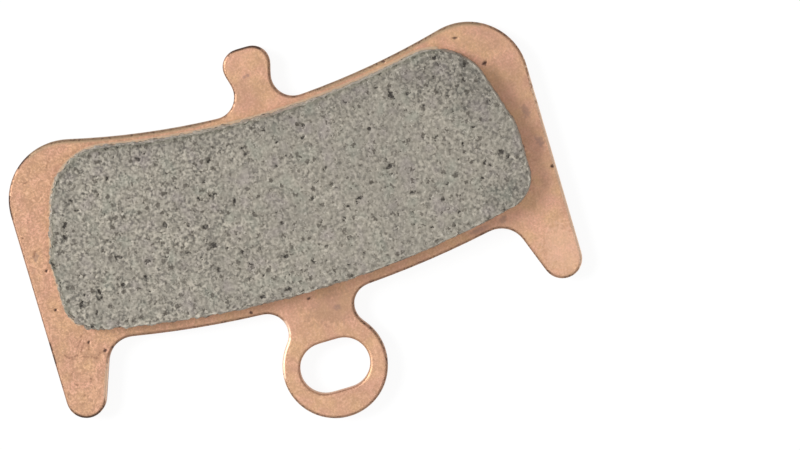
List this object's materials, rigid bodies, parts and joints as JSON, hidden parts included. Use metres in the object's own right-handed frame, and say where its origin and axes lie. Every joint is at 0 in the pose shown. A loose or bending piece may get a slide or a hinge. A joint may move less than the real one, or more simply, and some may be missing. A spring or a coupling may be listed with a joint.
{
  "type": "bicycle disc brake pad",
  "caption": "Curved copper-plated steel backing plate with a slotted pin ear, end legs and a locating tab, carrying a sintered metal friction block that presses on a bicycle brake rotor.",
  "frame": {"origin": "middle of the pin slot, on the plate's back face", "axes": "+X away from the rotor's axle, out through the pin ear; +Y along the pad; +Z out of the friction face. The pad lies on its back face."},
  "size_m": [0.0345, 0.0482, 0.004],
  "materials": {
    "backing_plate": "satin",
    "friction_compound": "matte"
  },
  "bodies": {
    "root": {"backing_plate": "backing_plate", "friction_compound": "friction_compound"}
  },
  "joints": []
}
